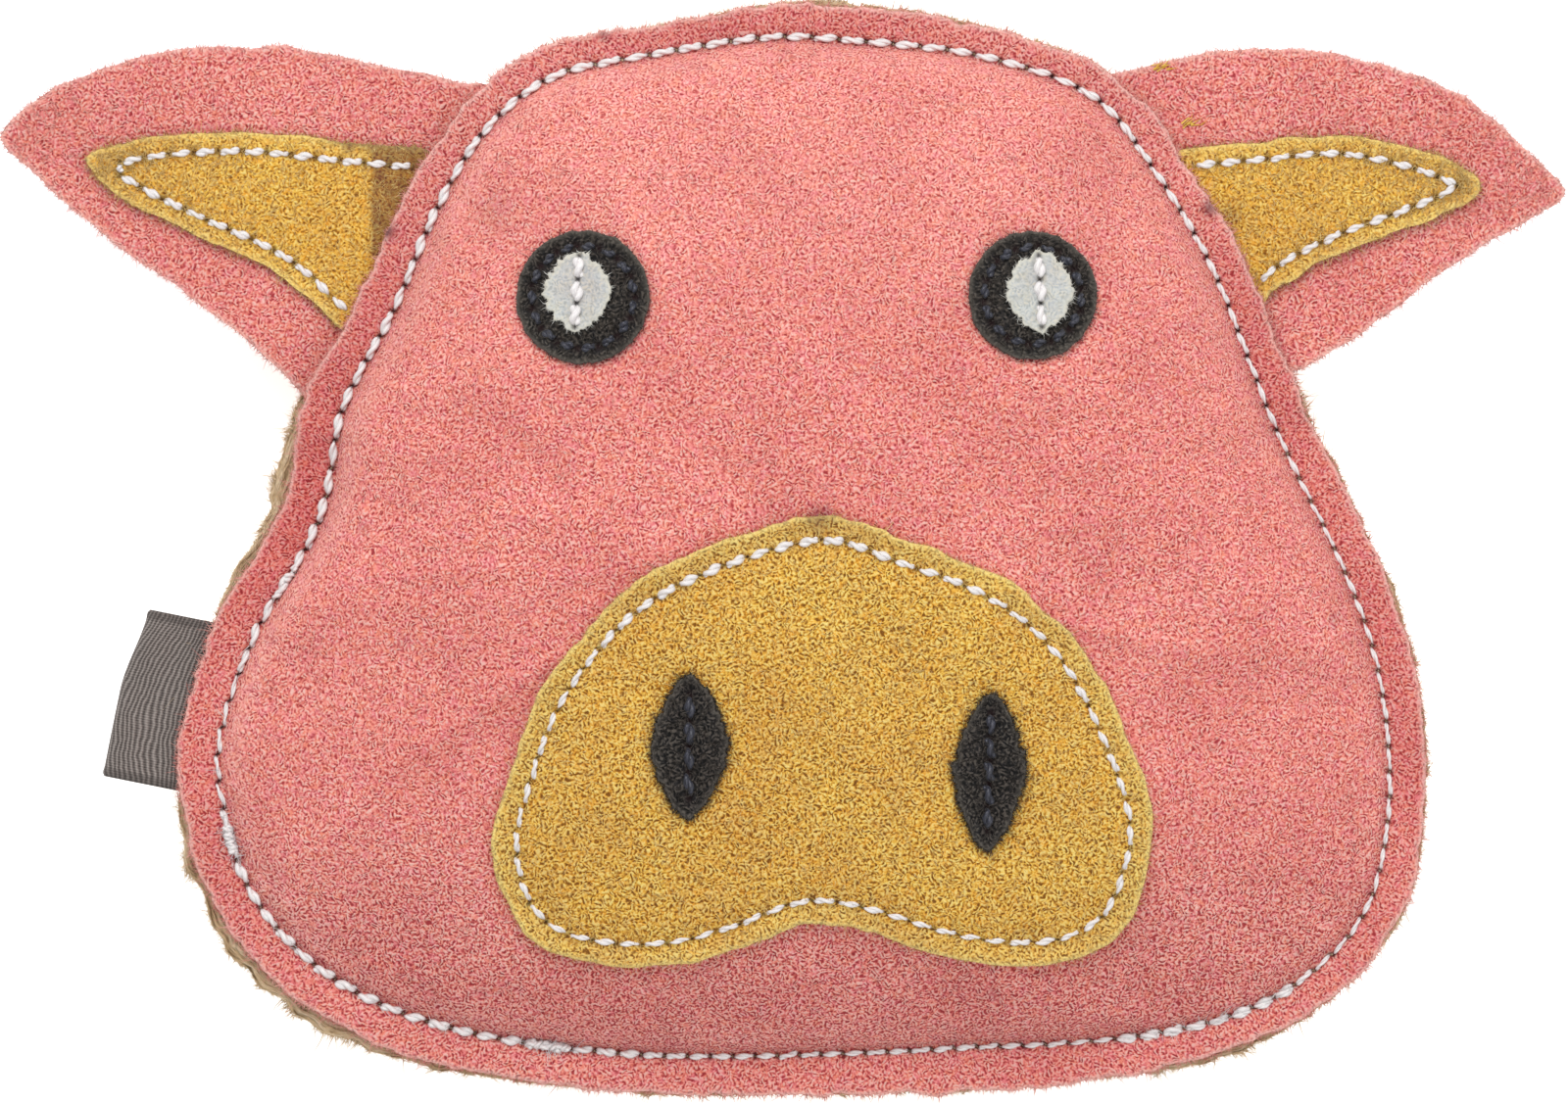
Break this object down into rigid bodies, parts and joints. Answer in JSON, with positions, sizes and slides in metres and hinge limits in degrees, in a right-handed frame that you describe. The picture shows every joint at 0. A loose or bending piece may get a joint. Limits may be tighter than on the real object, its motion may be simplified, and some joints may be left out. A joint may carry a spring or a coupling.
{
  "type": "stuffed leather toy",
  "caption": "Flat stuffed pig's head toy sewn from suede: puffed face and back, snout patch with nostrils, disc eyes, lined ears that fold and a folded tape in the seam.",
  "frame": {"origin": "middle of the outline as seen from the front, on the flat of the back that the toy lies on", "axes": "+X to the right as one looks at the face, +Y to the top of the head, +Z out of the face"},
  "size_m": [0.1904, 0.133, 0.038],
  "materials": {
    "pink_suede": "matte suede nap, raw cut edges",
    "ochre_suede": "matte suede nap, raw cut edges",
    "black_leather": "matte, fibrous cut edges",
    "pale_leather": "smooth matte",
    "jute": "coarse plain weave",
    "fibre_filling": "loose fibre",
    "white_thread": "twisted polyester",
    "black_thread": "twisted polyester, slight shine",
    "grey_tape": "woven twill"
  },
  "bodies": {
    "head": {"face_panel": "pink_suede", "back_panel": "jute", "stuffing": "fibre_filling", "seam_thread": "white_thread", "seam_bobbin_thread": "white_thread", "closing_thread": "white_thread", "closing_bobbin_thread": "white_thread", "snout_patch": "ochre_suede", "snout_thread": "white_thread", "snout_bobbin_thread": "white_thread", "left_nostril": "black_leather", "left_nostril_thread": "black_thread", "left_nostril_bobbin_thread": "black_thread", "right_nostril": "black_leather", "right_nostril_thread": "black_thread", "right_nostril_bobbin_thread": "black_thread", "left_eye": "black_leather", "left_eye_thread": "black_thread", "left_eye_bobbin_thread": "black_thread", "left_highlight": "pale_leather", "left_highlight_thread": "white_thread", "left_highlight_bobbin_thread": "white_thread", "right_eye": "black_leather", "right_eye_thread": "black_thread", "right_eye_bobbin_thread": "black_thread", "right_highlight": "pale_leather", "right_highlight_thread": "white_thread", "right_highlight_bobbin_thread": "white_thread", "left_ear_root": "pink_suede", "left_ear_lining_root": "ochre_suede", "right_ear_root": "pink_suede", "right_ear_lining_root": "ochre_suede", "label_root": "grey_tape"},
    "left_ear_flap": {"left_ear": "pink_suede", "left_ear_lining": "ochre_suede", "left_ear_thread": "white_thread", "left_ear_bobbin_thread": "white_thread"},
    "right_ear_flap": {"right_ear": "pink_suede", "right_ear_lining": "ochre_suede", "right_ear_thread": "white_thread", "right_ear_bobbin_thread": "white_thread"},
    "label_loop": {"label": "grey_tape"}
  },
  "joints": [
    {"name": "left_ear_fold", "type": "hinge", "parent": "head", "child": "left_ear_flap", "pos_m": [-0.05014, 0.03937, 0.0155], "axis": [0.4977, 0.8674, 0], "range_deg": [-85, 85], "stiffness_Nm_per_rad": 0.03},
    {"name": "right_ear_fold", "type": "hinge", "parent": "head", "child": "right_ear_flap", "pos_m": [0.05445, 0.04198, 0.0155], "axis": [0.513, -0.8584, 0], "range_deg": [-85, 85], "stiffness_Nm_per_rad": 0.03},
    {"name": "label_fold", "type": "hinge", "parent": "head", "child": "label_loop", "pos_m": [-0.07352, -0.0187, 0.0155], "axis": [0.1968, 0.9804, 0], "range_deg": [-80, 80], "stiffness_Nm_per_rad": 0.001}
  ]
}
